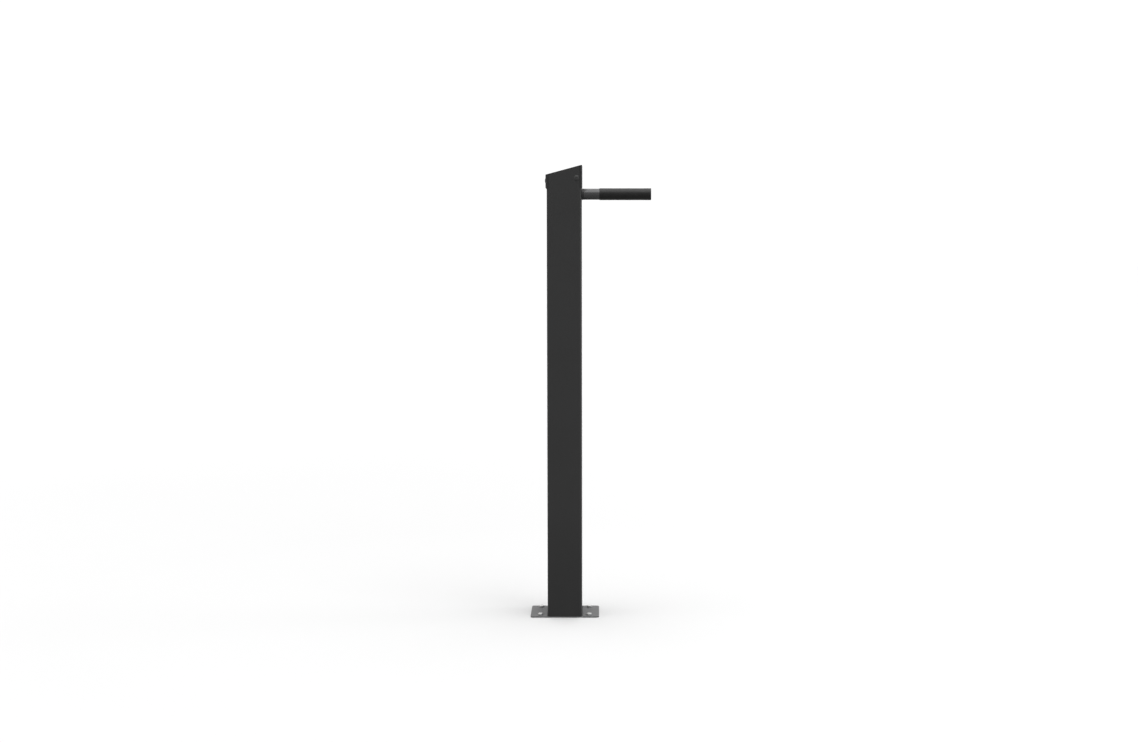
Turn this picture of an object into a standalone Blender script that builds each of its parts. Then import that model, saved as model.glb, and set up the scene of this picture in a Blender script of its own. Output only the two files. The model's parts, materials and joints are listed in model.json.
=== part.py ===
"""Floor-standing post that a bicycle hangs from, on two sleeved arms. Metres, +Z up.

The origin is the centre of the foot plate's underside. The arms stick out of the front, +X.
Seen from the front, -Y is the left side and +Y is the right side.
"""

import math

import bmesh
import bpy
from mathutils import Matrix, Vector

# Driving dimensions
GAP = 0.0003  # between touching pieces
SIDES = {"left": -1, "right": 1}
ENDS = {"rear": -1, "front": 1}

OVERALL_HEIGHT = 1.330  # floor to the lid's front top edge

PLATE_LENGTH = 0.202
PLATE_WIDTH = 0.150
PLATE_THICKNESS = 0.0035
PLATE_CORNER = 0.008
DRAIN_RADIUS = 0.008
DRAIN_OFFSET = 0.045

POST_LENGTH = 0.101
POST_WIDTH = 0.150
POST_WALL = 0.004
POST_CORNER = 0.008

LID_SHEET = 0.001
LID_SLOPE = 0.27  # rise for each unit of run
LID_BEND = 0.0003  # inner bend radius
LID_DROP = 0.0665  # from the top edge to the bottom of the flaps
LID_REAR_GAP = 0.0022  # room for a rivet nut's flange
HEM_HEIGHT = 0.004
HEM_REACH = 0.0029

BRACKET_SHEET = 0.002
BRACKET_LENGTH = 0.024
BRACKET_CENTRE = 0.0315
BRACKET_FLANGE = 0.022
BRACKET_BOTTOM = 0.047  # below the lid's top edge

SCREW_RADIUS = 0.003
SCREW_LENGTH = 0.016
SCREW_HEAD_RADIUS = 0.008
SCREW_HEAD_HEIGHT = 0.0025
SCREW_SOCKET_FLATS = 0.004
SCREW_SOCKET_DEPTH = 0.0016
SCREW_HOLE_RADIUS = 0.0033
SIDE_SCREW_X = 0.036
SIDE_SCREW_DROP = 0.038
REAR_SCREW_Y = 0.045
REAR_SCREW_DROP = 0.046

NUT_BODY_RADIUS = 0.0045
NUT_FLANGE_RADIUS = 0.0065
NUT_FLANGE_THICKNESS = 0.0016
NUT_BULGE_RADIUS = 0.0058
NUT_BULGE_LENGTH = 0.003
NUT_TAIL_LENGTH = 0.006
NUT_HOLE_RADIUS = NUT_BODY_RADIUS + GAP

ARM_DROP = 0.085  # from the lid's top edge to the arm axis
ARM_SPREAD = 0.090  # between the two arm axes
ARM_REACH = 0.202  # from the post to the sleeve's mouth
ARM_RADIUS = 0.0162
ARM_WALL = 0.0025
GASKET_THICKNESS = 0.005
GASKET_RADIUS = 0.0166
SLEEVE_LENGTH = 0.150
SLEEVE_RADIUS = 0.01735
PLUG_SETBACK = 0.0008  # plug face behind the sleeve's mouth
PLUG_FLANGE_THICKNESS = 0.0025
PLUG_SPIGOT_LENGTH = 0.015
PLUG_SPIGOT_WALL = 0.002
BOSS_LENGTH = 0.030

BOLT_RADIUS = 0.006
BOLT_HOLE_RADIUS = 0.0063
BOLT_HEAD_FLATS = 0.018
BOLT_HEAD_HEIGHT = 0.0075
BOLT_LENGTH = 0.040
BACKING_THICKNESS = 0.005
BACKING_WIDTH = 0.124
BACKING_HEIGHT = 0.050
BACKING_CORNER = 0.004
SPRING_WASHER_RADIUS = 0.0105
SPRING_WASHER_THICKNESS = 0.0025
SPRING_WASHER_SLIT = 0.0015
SPRING_WASHER_SLANT = math.radians(25)

ANCHOR_X = 0.072
ANCHOR_Y = 0.054
ANCHOR_RADIUS = 0.004
ANCHOR_HOLE_RADIUS = 0.0045
ANCHOR_HEAD_FLATS = 0.013
ANCHOR_HEAD_HEIGHT = 0.0053
ANCHOR_TIP_HEIGHT = 0.0005  # the shank ends this far above the floor

# Heights and faces that follow from them
LID_FRONT_X = POST_LENGTH / 2 + GAP + LID_SHEET
LID_REAR_X = -(POST_LENGTH / 2 + LID_REAR_GAP + LID_SHEET)
LID_ANGLE = math.atan(LID_SLOPE)
LID_BOTTOM = OVERALL_HEIGHT - LID_DROP
# The lid's narrow side returns wrap the post's rounded corners and stop this far from its middle
RETURN_REACH = math.sqrt((POST_CORNER + GAP) ** 2 - (POST_CORNER - LID_SHEET) ** 2)
RETURN_X = POST_LENGTH / 2 - POST_CORNER + RETURN_REACH
POST_FOOT = PLATE_THICKNESS + GAP
ARM_Z = OVERALL_HEIGHT - ARM_DROP
ARM_ROOT = POST_LENGTH / 2 + GAP + GASKET_THICKNESS + GAP
ARM_MOUTH = POST_LENGTH / 2 + ARM_REACH
PLUG_FACE = ARM_MOUTH - PLUG_SETBACK
TUBE_END = PLUG_FACE - PLUG_FLANGE_THICKNESS - GAP
BACKING_OUTER = POST_LENGTH / 2 - POST_WALL - GAP
BACKING_INNER = BACKING_OUTER - BACKING_THICKNESS
WASHER_INNER = BACKING_INNER - GAP - SPRING_WASHER_THICKNESS
BRACKET_FACE_Y = POST_WIDTH / 2 - POST_WALL - LID_REAR_GAP
SIDE_SCREW_Z = OVERALL_HEIGHT - SIDE_SCREW_DROP
REAR_SCREW_Z = OVERALL_HEIGHT - REAR_SCREW_DROP

# Facets
ROUND_STEPS = 32
SMALL_ROUND_STEPS = 20
CORNER_STEPS = 5
BEND_STEPS = 3
DOME_STEPS = 4
SMOOTH_ANGLE = math.radians(35)
SCREW_MERGE = 0.00002
CAP_WELD = 0.000001
PAST = 0.005  # how far a cutter runs past what it cuts


def clear_scene():
    for item in list(bpy.data.objects):
        bpy.data.objects.remove(item, do_unlink=True)


def new_collection(name):
    made = bpy.data.collections.new(name)
    bpy.context.scene.collection.children.link(made)
    return made


clear_scene()
PARTS = new_collection("bicycle_hanging_post")
CUTTERS = new_collection("cutters")


# Materials

def new_material(name, colour, roughness, metallic):
    made = bpy.data.materials.new(name)
    made.use_nodes = True
    shader = made.node_tree.nodes["Principled BSDF"]
    shader.inputs["Base Color"].default_value = (*colour, 1.0)
    shader.inputs["Roughness"].default_value = roughness
    shader.inputs["Metallic"].default_value = metallic
    return made


CHARCOAL = new_material("charcoal_powder_coat", (0.036, 0.036, 0.037), 0.6, 0.0)
PLATE_STEEL = new_material("galvanised_steel", (0.22, 0.22, 0.225), 0.5, 0.8)
ARM_STEEL = new_material("dark_drawn_steel", (0.16, 0.16, 0.17), 0.35, 0.9)
ZINC = new_material("bright_zinc", (0.60, 0.61, 0.62), 0.3, 1.0)
RUBBER = new_material("black_rubber", (0.012, 0.012, 0.012), 0.65, 0.0)
PLASTIC = new_material("black_plastic", (0.02, 0.02, 0.02), 0.45, 0.0)


# Placing: a round piece is made along its own +Z, which these turn to a world direction

ALONG_Z = Matrix.Identity(4)
ALONG_X = Matrix.Rotation(math.pi / 2, 4, "Y")
AGAINST_X = Matrix.Rotation(-math.pi / 2, 4, "Y")


def along_y(side):
    """Own +Z to +Y on the right side and to -Y on the left side."""
    return Matrix.Rotation(-side * math.pi / 2, 4, "X")


def at(x, y, z, turn=ALONG_Z):
    return Matrix.Translation((x, y, z)) @ turn


# Shape helpers

def add_object(name, mesh, material, matrix, collection=None):
    made = bpy.data.objects.new(name, mesh)
    made.matrix_world = matrix
    (collection or PARTS).objects.link(made)
    if material:
        mesh.materials.clear()
        mesh.materials.append(material)
    return made


def smooth(mesh):
    mesh.shade_smooth()
    mesh.set_sharp_from_angle(angle=SMOOTH_ANGLE)


def as_cutter(item):
    item.hide_render = True
    item.display_type = "WIRE"
    return item


def add_boolean(item, other, operation):
    modifier = item.modifiers.new(operation.lower(), "BOOLEAN")
    modifier.operation = operation
    modifier.object = other
    modifier.solver = "EXACT"


def cut(item, cutter):
    add_boolean(item, as_cutter(cutter), "DIFFERENCE")


def cylinder_mesh(name, radius, low, high, steps=ROUND_STEPS, flats_up=False):
    """A closed cylinder or prism along Z, from low to high."""
    mesh = bpy.data.meshes.new(name)
    shape = bmesh.new()
    bmesh.ops.create_cone(
        shape,
        cap_ends=True,
        cap_tris=False,
        segments=steps,
        radius1=radius,
        radius2=radius,
        depth=high - low,
        matrix=Matrix.Translation((0, 0, (low + high) / 2)),
    )
    if flats_up:
        half_step = Matrix.Rotation(math.pi / steps, 3, "Z")
        bmesh.ops.rotate(shape, verts=shape.verts, cent=(0, 0, 0), matrix=half_step)
    shape.to_mesh(mesh)
    shape.free()
    smooth(mesh)
    return mesh


def cylinder(name, radius, low, high, matrix, material=None, steps=ROUND_STEPS):
    mesh = cylinder_mesh(name, radius, low, high, steps)
    collection = PARTS if material else CUTTERS
    return add_object(name, mesh, material, matrix, collection)


def hexagon(name, flats, low, high, matrix, material=None):
    """A hexagonal prism, measured across its flats."""
    return cylinder(name, flats / math.sqrt(3), low, high, matrix, material, steps=6)


def box(name, low, high, matrix=ALONG_Z, material=None):
    mesh = bpy.data.meshes.new(name)
    shape = bmesh.new()
    bmesh.ops.create_cube(shape, size=1.0)
    size = Vector(high) - Vector(low)
    middle = (Vector(high) + Vector(low)) / 2
    bmesh.ops.scale(shape, vec=size, verts=shape.verts)
    bmesh.ops.translate(shape, vec=middle, verts=shape.verts)
    shape.to_mesh(mesh)
    shape.free()
    return add_object(name, mesh, material, matrix, PARTS if material else CUTTERS)


def turned(name, profile, matrix, material, steps=ROUND_STEPS):
    """A profile of (radius, height) points, outer side top to bottom, turned about its own Z."""
    mesh = bpy.data.meshes.new(name)
    shape = bmesh.new()
    verts = [shape.verts.new((radius, 0, height)) for radius, height in profile]
    for first, second in zip(verts, verts[1:] + verts[:1]):
        if first.co.x > 0 or second.co.x > 0:
            shape.edges.new((first, second))
    shape.to_mesh(mesh)
    shape.free()
    made = add_object(name, mesh, material, matrix)
    screw = made.modifiers.new("turn", "SCREW")
    screw.axis = "Z"
    screw.steps = steps
    screw.render_steps = steps
    screw.use_merge_vertices = True
    screw.merge_threshold = SCREW_MERGE
    screw.use_smooth_shade = True
    return made


def ring(name, outer, inner, low, high, matrix, material, steps=ROUND_STEPS):
    profile = [(outer, high), (outer, low), (inner, low), (inner, high)]
    return turned(name, profile, matrix, material, steps)


def filleted(corners, radii, steps):
    """The outline through the corners, with an arc of the given radius at each one."""
    points = []
    count = len(corners)
    for i, radius in enumerate(radii):
        corner = Vector(corners[i])
        to_last = (Vector(corners[i - 1]) - corner).normalized()
        to_next = (Vector(corners[(i + 1) % count]) - corner).normalized()
        if radius == 0:
            points.append(corner)
            continue
        half = to_last.angle(to_next) / 2
        centre = corner + (to_last + to_next).normalized() * radius / math.sin(half)
        start = corner + to_last * radius / math.tan(half) - centre
        finish = corner + to_next * radius / math.tan(half) - centre
        turn = start.angle_signed(finish)
        for step in range(steps + 1):
            angle = -turn * step / steps
            arm = Matrix.Rotation(angle, 2) @ start
            points.append(centre + arm)
    return points


def rectangle(length, width):
    x, y = length / 2, width / 2
    return [(-x, -y), (x, -y), (x, y), (-x, y)]


def extruded(name, outlines, thickness, matrix, material=None):
    """Flat outlines, the second and later ones being holes, made thickness thick about their plane."""
    curve = bpy.data.curves.new(name, "CURVE")
    curve.dimensions = "2D"
    curve.fill_mode = "BOTH"
    curve.extrude = thickness / 2
    for outline in outlines:
        spline = curve.splines.new("POLY")
        spline.points.add(len(outline) - 1)
        for point, (x, y) in zip(spline.points, outline):
            point.co = (x, y, 0, 1)
        spline.use_cyclic_u = True
    guide = bpy.data.objects.new(name + "_outline", curve)
    guide.matrix_world = matrix
    PARTS.objects.link(guide)
    bpy.context.view_layer.update()
    graph = bpy.context.evaluated_depsgraph_get()
    mesh = bpy.data.meshes.new_from_object(guide.evaluated_get(graph))
    shape = bmesh.new()
    shape.from_mesh(mesh)
    bmesh.ops.remove_doubles(shape, verts=shape.verts, dist=CAP_WELD)
    shape.to_mesh(mesh)
    shape.free()
    smooth(mesh)
    collection = PARTS if material else CUTTERS
    made = add_object(name, mesh, material, guide.matrix_world.copy(), collection)
    bpy.data.objects.remove(guide, do_unlink=True)
    return made


STANDING_XZ = Matrix.Rotation(math.pi / 2, 4, "X")  # own XY outline stands in the world's XZ plane


def lid_top(x):
    """Height of the lid's upper surface."""
    return OVERALL_HEIGHT - (LID_FRONT_X - x) * LID_SLOPE


def below_lid(depth):
    """Height of a plane at x = 0 that lies the given depth below the lid's upper surface."""
    return lid_top(0) - depth / math.cos(LID_ANGLE)


# Foot plate and its anchors

def build_base_plate():
    outline = filleted(rectangle(PLATE_LENGTH, PLATE_WIDTH), [PLATE_CORNER] * 4, CORNER_STEPS)
    plate = extruded(
        "base_plate", [outline], PLATE_THICKNESS, at(0, 0, PLATE_THICKNESS / 2), PLATE_STEEL
    )
    holes = [(0, side * DRAIN_OFFSET, DRAIN_RADIUS) for side in SIDES.values()]
    for end in ENDS.values():
        for side in SIDES.values():
            holes.append((end * ANCHOR_X, side * ANCHOR_Y, ANCHOR_HOLE_RADIUS))
    for x, y, radius in holes:
        high = PLATE_THICKNESS + PAST
        hole = cylinder("plate_hole", radius, -PAST, high, at(x, y, 0), steps=SMALL_ROUND_STEPS)
        cut(plate, hole)


def build_anchors():
    head_low = PLATE_THICKNESS + GAP
    head_high = head_low + ANCHOR_HEAD_HEIGHT
    for end_name, end in ENDS.items():
        for side_name, side in SIDES.items():
            place = at(end * ANCHOR_X, side * ANCHOR_Y, 0)
            corner = f"{end_name}_{side_name}"
            bolt = hexagon(
                "anchor_bolt_" + corner, ANCHOR_HEAD_FLATS, head_low, head_high, place, ZINC
            )
            shank = cylinder(
                "anchor_shank",
                ANCHOR_RADIUS,
                ANCHOR_TIP_HEIGHT,
                head_low + ANCHOR_HEAD_HEIGHT / 2,
                place,
                steps=SMALL_ROUND_STEPS,
            )
            add_boolean(bolt, as_cutter(shank), "UNION")


# Post

def build_post():
    inner_corner = POST_CORNER - POST_WALL
    outer = filleted(rectangle(POST_LENGTH, POST_WIDTH), [POST_CORNER] * 4, CORNER_STEPS)
    cavity = rectangle(POST_LENGTH - 2 * POST_WALL, POST_WIDTH - 2 * POST_WALL)
    inner = filleted(cavity, [inner_corner] * 4, CORNER_STEPS)
    height = OVERALL_HEIGHT - POST_FOOT
    middle = POST_FOOT + height / 2
    post = extruded("post_column", [outer, inner], height, at(0, 0, middle), CHARCOAL)
    slope = Matrix.Rotation(-LID_ANGLE, 4, "Y")
    seat = below_lid(LID_SHEET + GAP)
    reach = POST_LENGTH / 2 + POST_WIDTH / 2
    cut(post, box("slope_cutter", (-reach, -reach, 0), (reach, reach, reach), at(0, 0, seat, slope)))
    wall_low = POST_LENGTH / 2 - POST_WALL - PAST
    wall_high = POST_LENGTH / 2 + PAST
    side_low = POST_WIDTH / 2 - POST_WALL - PAST
    side_high = POST_WIDTH / 2 + PAST
    for side in SIDES.values():
        arm_axis = at(0, side * ARM_SPREAD / 2, ARM_Z, ALONG_X)
        cut(post, cylinder("arm_hole", BOLT_HOLE_RADIUS, wall_low, wall_high, arm_axis))
        rear_axis = at(0, side * REAR_SCREW_Y, REAR_SCREW_Z, AGAINST_X)
        cut(post, cylinder("rear_nut_hole", NUT_HOLE_RADIUS, wall_low, wall_high, rear_axis))
        side_axis = at(SIDE_SCREW_X, 0, SIDE_SCREW_Z, along_y(side))
        cut(post, cylinder("side_hole", SCREW_HOLE_RADIUS, side_low, side_high, side_axis))


# Lid

def bent(outline):
    """The points of an outline given as (corner, radius) pairs."""
    corners = [corner for corner, _ in outline]
    radii = [radius for _, radius in outline]
    return filleted(corners, radii, BEND_STEPS)


def build_lid():
    """A folded cap: a flap behind, a lip in front, and narrow returns round the post's corners."""
    flap_x = LID_REAR_X + LID_SHEET
    lip_x = LID_FRONT_X - LID_SHEET
    under = LID_SHEET / math.cos(LID_ANGLE)
    hem_x = LID_REAR_X + HEM_REACH
    hem_bottom = LID_BOTTOM - HEM_HEIGHT
    outer_bend = LID_BEND + LID_SHEET
    inside = RETURN_X - PAST
    outline = [
        ((LID_REAR_X, LID_BOTTOM), 0),
        ((hem_x, hem_bottom), 0),
        ((-RETURN_X, hem_bottom), 0),
        ((-RETURN_X, lid_top(-RETURN_X) - under), 0),
        ((RETURN_X, lid_top(RETURN_X) - under), 0),
        ((RETURN_X, LID_BOTTOM), 0),
        ((LID_FRONT_X, LID_BOTTOM), 0),
        ((LID_FRONT_X, OVERALL_HEIGHT), outer_bend),
        ((LID_REAR_X, lid_top(LID_REAR_X)), outer_bend),
    ]
    rear_pocket = [
        ((flap_x, LID_BOTTOM), 0),
        ((hem_x, hem_bottom + HEM_HEIGHT / 2), 0),
        ((hem_x, hem_bottom - PAST), 0),
        ((-inside, hem_bottom - PAST), 0),
        ((-inside, lid_top(-inside) - under), 0),
        ((flap_x, lid_top(flap_x) - under), LID_BEND),
    ]
    front_pocket = [
        ((inside, LID_BOTTOM - PAST), 0),
        ((lip_x, LID_BOTTOM - PAST), 0),
        ((lip_x, lid_top(lip_x) - under), LID_BEND),
        ((inside, lid_top(inside) - under), 0),
    ]
    lid = extruded("lid_cover", [bent(outline)], POST_WIDTH, STANDING_XZ, CHARCOAL)
    for pocket in (rear_pocket, front_pocket):
        cut(lid, extruded("pocket", [bent(pocket)], POST_WIDTH - 2 * LID_SHEET, STANDING_XZ))
    for side in SIDES.values():
        axis = at(0, side * REAR_SCREW_Y, REAR_SCREW_Z, AGAINST_X)
        hole = cylinder("flap_hole", SCREW_HOLE_RADIUS, -flap_x - PAST, -flap_x + PAST, axis)
        cut(lid, hole)


def build_lid_brackets():
    """Each is an angle: a flange that follows the lid's slope, and a web with the rivet nut's hole."""
    top = below_lid(LID_SHEET + GAP)
    thick = BRACKET_SHEET / math.cos(LID_ANGLE)
    low_x = BRACKET_CENTRE - BRACKET_LENGTH / 2
    high_x = BRACKET_CENTRE + BRACKET_LENGTH / 2

    def slope_at(x, depth):
        return top + x * LID_SLOPE - depth

    flange = [
        (low_x, slope_at(low_x, thick)),
        (high_x, slope_at(high_x, thick)),
        (high_x, slope_at(high_x, 0)),
        (low_x, slope_at(low_x, 0)),
    ]
    bottom = OVERALL_HEIGHT - BRACKET_BOTTOM
    web = [
        (low_x, bottom),
        (high_x, bottom),
        (high_x, slope_at(high_x, thick / 2)),
        (low_x, slope_at(low_x, thick / 2)),
    ]
    for side_name, side in SIDES.items():
        flange_y = side * (BRACKET_FACE_Y - BRACKET_FLANGE / 2)
        web_y = side * (BRACKET_FACE_Y - BRACKET_SHEET / 2)
        bracket = extruded(
            "lid_bracket_" + side_name, [flange], BRACKET_FLANGE, at(0, flange_y, 0, STANDING_XZ), ZINC
        )
        web_piece = extruded(
            "bracket_web", [web], BRACKET_SHEET, at(0, web_y, 0, STANDING_XZ), ZINC
        )
        PARTS.objects.unlink(web_piece)
        CUTTERS.objects.link(web_piece)
        add_boolean(bracket, as_cutter(web_piece), "UNION")
        axis = at(SIDE_SCREW_X, 0, SIDE_SCREW_Z, along_y(side))
        low, high = BRACKET_FACE_Y - PAST, BRACKET_FACE_Y + PAST
        cut(bracket, cylinder("bracket_hole", NUT_HOLE_RADIUS, low, high, axis))


def build_rivet_nut(name, matrix, sheet):
    """A blind rivet nut set in a sheet whose outer face is at own z = 0, with its flange outside."""
    flange_top = GAP + NUT_FLANGE_THICKNESS
    bulge_top = -sheet - GAP
    bulge_bottom = bulge_top - NUT_BULGE_LENGTH
    profile = [
        (NUT_FLANGE_RADIUS, flange_top),
        (NUT_FLANGE_RADIUS, GAP),
        (NUT_BODY_RADIUS, GAP),
        (NUT_BODY_RADIUS, bulge_top),
        (NUT_BULGE_RADIUS, (bulge_top * 2 + bulge_bottom) / 3),
        (NUT_BULGE_RADIUS, (bulge_top + bulge_bottom * 2) / 3),
        (NUT_BODY_RADIUS, bulge_bottom),
        (NUT_BODY_RADIUS, bulge_bottom - NUT_TAIL_LENGTH),
        (SCREW_HOLE_RADIUS, bulge_bottom - NUT_TAIL_LENGTH),
        (SCREW_HOLE_RADIUS, flange_top),
    ]
    turned(name, profile, matrix, ZINC, SMALL_ROUND_STEPS)


def build_lid_screw(name, matrix):
    """A low mushroom-head screw whose head stands on own z = 0, with a hexagon socket."""
    dome_radius = (SCREW_HEAD_RADIUS**2 + SCREW_HEAD_HEIGHT**2) / (2 * SCREW_HEAD_HEIGHT)
    rim_angle = math.asin(SCREW_HEAD_RADIUS / dome_radius)
    profile = []
    for step in range(DOME_STEPS + 1):
        angle = rim_angle * step / DOME_STEPS
        height = GAP + SCREW_HEAD_HEIGHT - dome_radius * (1 - math.cos(angle))
        profile.append((dome_radius * math.sin(angle), height))
    profile[-1] = (SCREW_HEAD_RADIUS, GAP)
    profile += [
        (SCREW_RADIUS, GAP),
        (SCREW_RADIUS, GAP - SCREW_LENGTH),
        (0, GAP - SCREW_LENGTH),
    ]
    screw = turned(name, profile, matrix, CHARCOAL, SMALL_ROUND_STEPS)
    socket_low = GAP + SCREW_HEAD_HEIGHT - SCREW_SOCKET_DEPTH
    socket = hexagon("screw_socket", SCREW_SOCKET_FLATS, socket_low, socket_low + PAST, matrix)
    cut(screw, socket)


def build_lid_fixings():
    post_rear = -POST_LENGTH / 2
    for side_name, side in SIDES.items():
        y = side * REAR_SCREW_Y
        build_rivet_nut(
            "lid_rivet_nut_rear_" + side_name, at(post_rear, y, REAR_SCREW_Z, AGAINST_X), POST_WALL
        )
        build_lid_screw("lid_screw_rear_" + side_name, at(LID_REAR_X, y, REAR_SCREW_Z, AGAINST_X))
        build_rivet_nut(
            "lid_rivet_nut_side_" + side_name,
            at(SIDE_SCREW_X, side * BRACKET_FACE_Y, SIDE_SCREW_Z, along_y(side)),
            BRACKET_SHEET,
        )
        build_lid_screw(
            "lid_screw_side_" + side_name,
            at(SIDE_SCREW_X, side * POST_WIDTH / 2, SIDE_SCREW_Z, along_y(side)),
        )


# Arms

def build_sleeve(side_name, axis):
    inner = ARM_RADIUS + GAP
    mesh = cylinder_mesh(
        "sleeve", SLEEVE_RADIUS, ARM_MOUTH - SLEEVE_LENGTH, ARM_MOUTH, ROUND_STEPS, flats_up=True
    )
    sleeve = add_object("arm_sleeve_" + side_name, mesh, RUBBER, axis)
    cut(sleeve, cylinder("sleeve_bore", inner, 0, ARM_MOUTH + PAST, axis))


def build_end_plug(side_name, axis):
    bore = ARM_RADIUS - ARM_WALL
    flange_low = PLUG_FACE - PLUG_FLANGE_THICKNESS
    spigot = bore - GAP
    spigot_end = flange_low - PLUG_SPIGOT_LENGTH
    profile = [
        (0, PLUG_FACE),
        (ARM_RADIUS, PLUG_FACE),
        (ARM_RADIUS, flange_low),
        (spigot, flange_low),
        (spigot, spigot_end),
        (spigot - PLUG_SPIGOT_WALL, spigot_end),
        (spigot - PLUG_SPIGOT_WALL, flange_low),
        (0, flange_low),
    ]
    turned("arm_end_plug_" + side_name, profile, axis, PLASTIC)


def build_arm_bolt(side_name, axis):
    head_high = WASHER_INNER - GAP
    head_low = head_high - BOLT_HEAD_HEIGHT
    bolt = hexagon("arm_bolt_" + side_name, BOLT_HEAD_FLATS, head_low, head_high, axis, ZINC)
    shank = cylinder(
        "bolt_shank",
        BOLT_RADIUS,
        head_high - BOLT_HEAD_HEIGHT / 2,
        head_high + BOLT_LENGTH,
        axis,
        steps=SMALL_ROUND_STEPS,
    )
    add_boolean(bolt, as_cutter(shank), "UNION")


def build_spring_washer(side_name, axis):
    high = WASHER_INNER + SPRING_WASHER_THICKNESS
    washer = ring(
        "arm_spring_washer_" + side_name,
        SPRING_WASHER_RADIUS,
        BOLT_HOLE_RADIUS,
        WASHER_INNER,
        high,
        axis,
        ZINC,
        SMALL_ROUND_STEPS,
    )
    slit = SPRING_WASHER_SLIT / 2
    middle = axis @ Matrix.Translation((0, 0, (WASHER_INNER + high) / 2))
    slant = Matrix.Rotation(SPRING_WASHER_SLANT, 4, "X")
    low_corner = (0, -slit, -PAST)
    high_corner = (SPRING_WASHER_RADIUS + PAST, slit, PAST)
    cut(washer, box("washer_slit", low_corner, high_corner, middle @ slant))


def build_arms():
    bore = ARM_RADIUS - ARM_WALL
    post_front = POST_LENGTH / 2
    for side_name, side in SIDES.items():
        axis = at(0, side * ARM_SPREAD / 2, ARM_Z, ALONG_X)
        ring(
            "arm_gasket_" + side_name,
            GASKET_RADIUS,
            BOLT_HOLE_RADIUS,
            post_front + GAP,
            post_front + GAP + GASKET_THICKNESS,
            axis,
            RUBBER,
        )
        ring("arm_tube_" + side_name, ARM_RADIUS, bore, ARM_ROOT, TUBE_END, axis, ARM_STEEL)
        ring(
            "arm_boss_" + side_name,
            bore - GAP,
            BOLT_HOLE_RADIUS,
            ARM_ROOT,
            ARM_ROOT + BOSS_LENGTH,
            axis,
            ARM_STEEL,
        )
        build_sleeve(side_name, axis)
        build_end_plug(side_name, axis)
        build_arm_bolt(side_name, axis)
        build_spring_washer(side_name, axis)


def build_backing_plate():
    outline = filleted(
        rectangle(BACKING_HEIGHT, BACKING_WIDTH), [BACKING_CORNER] * 4, BEND_STEPS
    )
    middle = (BACKING_INNER + BACKING_OUTER) / 2
    plate = extruded(
        "arm_backing_plate", [outline], BACKING_THICKNESS, at(middle, 0, ARM_Z, ALONG_X), ZINC
    )
    for side in SIDES.values():
        axis = at(0, side * ARM_SPREAD / 2, ARM_Z, ALONG_X)
        low, high = BACKING_INNER - PAST, BACKING_OUTER + PAST
        hole = cylinder("backing_hole", BOLT_HOLE_RADIUS, low, high, axis)
        cut(plate, hole)


build_base_plate()
build_anchors()
build_post()
build_lid()
build_lid_brackets()
build_lid_fixings()
build_arms()
build_backing_plate()
bpy.context.view_layer.update()
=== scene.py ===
import json
import math

import bmesh
import bpy
from mathutils import Matrix, Vector

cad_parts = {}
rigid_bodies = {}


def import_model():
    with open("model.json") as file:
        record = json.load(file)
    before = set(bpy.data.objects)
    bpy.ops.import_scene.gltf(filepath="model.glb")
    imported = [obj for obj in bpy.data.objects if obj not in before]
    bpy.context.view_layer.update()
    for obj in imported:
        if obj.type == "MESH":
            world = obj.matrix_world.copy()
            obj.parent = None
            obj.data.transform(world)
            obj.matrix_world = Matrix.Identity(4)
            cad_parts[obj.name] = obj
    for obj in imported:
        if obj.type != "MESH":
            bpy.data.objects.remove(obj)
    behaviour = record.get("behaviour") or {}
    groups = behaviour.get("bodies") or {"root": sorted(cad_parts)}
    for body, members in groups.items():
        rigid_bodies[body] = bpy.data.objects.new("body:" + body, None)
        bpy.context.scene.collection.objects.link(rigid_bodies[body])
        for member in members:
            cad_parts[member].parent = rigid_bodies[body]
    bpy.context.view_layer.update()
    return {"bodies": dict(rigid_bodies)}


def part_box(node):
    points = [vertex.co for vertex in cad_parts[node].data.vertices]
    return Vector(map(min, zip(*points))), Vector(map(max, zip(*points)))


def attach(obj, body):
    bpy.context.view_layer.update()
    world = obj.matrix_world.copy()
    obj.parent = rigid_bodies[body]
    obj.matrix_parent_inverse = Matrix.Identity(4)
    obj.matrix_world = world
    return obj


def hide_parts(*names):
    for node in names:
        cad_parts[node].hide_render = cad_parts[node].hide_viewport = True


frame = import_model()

BODY = next(iter(frame["bodies"]))

# The object in metres: +X is the front, where the arms point, and -Y is its left side
SIDES = {"left": -1, "right": 1}
ENDS = {"rear": -1, "front": 1}
FORWARD, BACKWARD, UPWARD = (1, 0, 0), (-1, 0, 0), (0, 0, 1)
QUARTER_TURN = Matrix.Rotation(math.pi / 2, 4, "X")
GAP = 0.0003  # between touching pieces

# Sizes that the frame's boxes don't tell. An edge is the width of an edge break
POST_WALL = 0.004
POST_CORNER = 0.008
POST_EDGE = 0.0004
PLATE_CORNER = 0.008
PLATE_EDGE = 0.0005
DRAIN_OFFSET = 0.045
LID_SHEET = 0.001
LID_SLOPE = 0.27  # rise for each unit of run
LID_BEND = 0.0003  # inner bend radius
LID_EDGE = 0.0003
HEM_HEIGHT = 0.004
HEM_REACH = 0.0029
BRACKET_SHEET = 0.002
BRACKET_BEND = 0.001
BRACKET_EDGE = 0.0002
BACKING_CORNER = 0.004
BACKING_EDGE = 0.0004
TUBE_WALL = 0.0025
LID_ANGLE = math.atan(LID_SLOPE)
# How far the lid's side returns reach round the post's corner arc
RETURN_REACH = math.sqrt((POST_CORNER + GAP) ** 2 - (POST_CORNER - LID_SHEET) ** 2)

# Radii of the holes
POST_HOLE = 0.0063
SIDE_HOLE = 0.0033
NUT_HOLE = 0.0048
PLATE_HOLE = 0.0045
DRAIN_HOLE = 0.008

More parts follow.
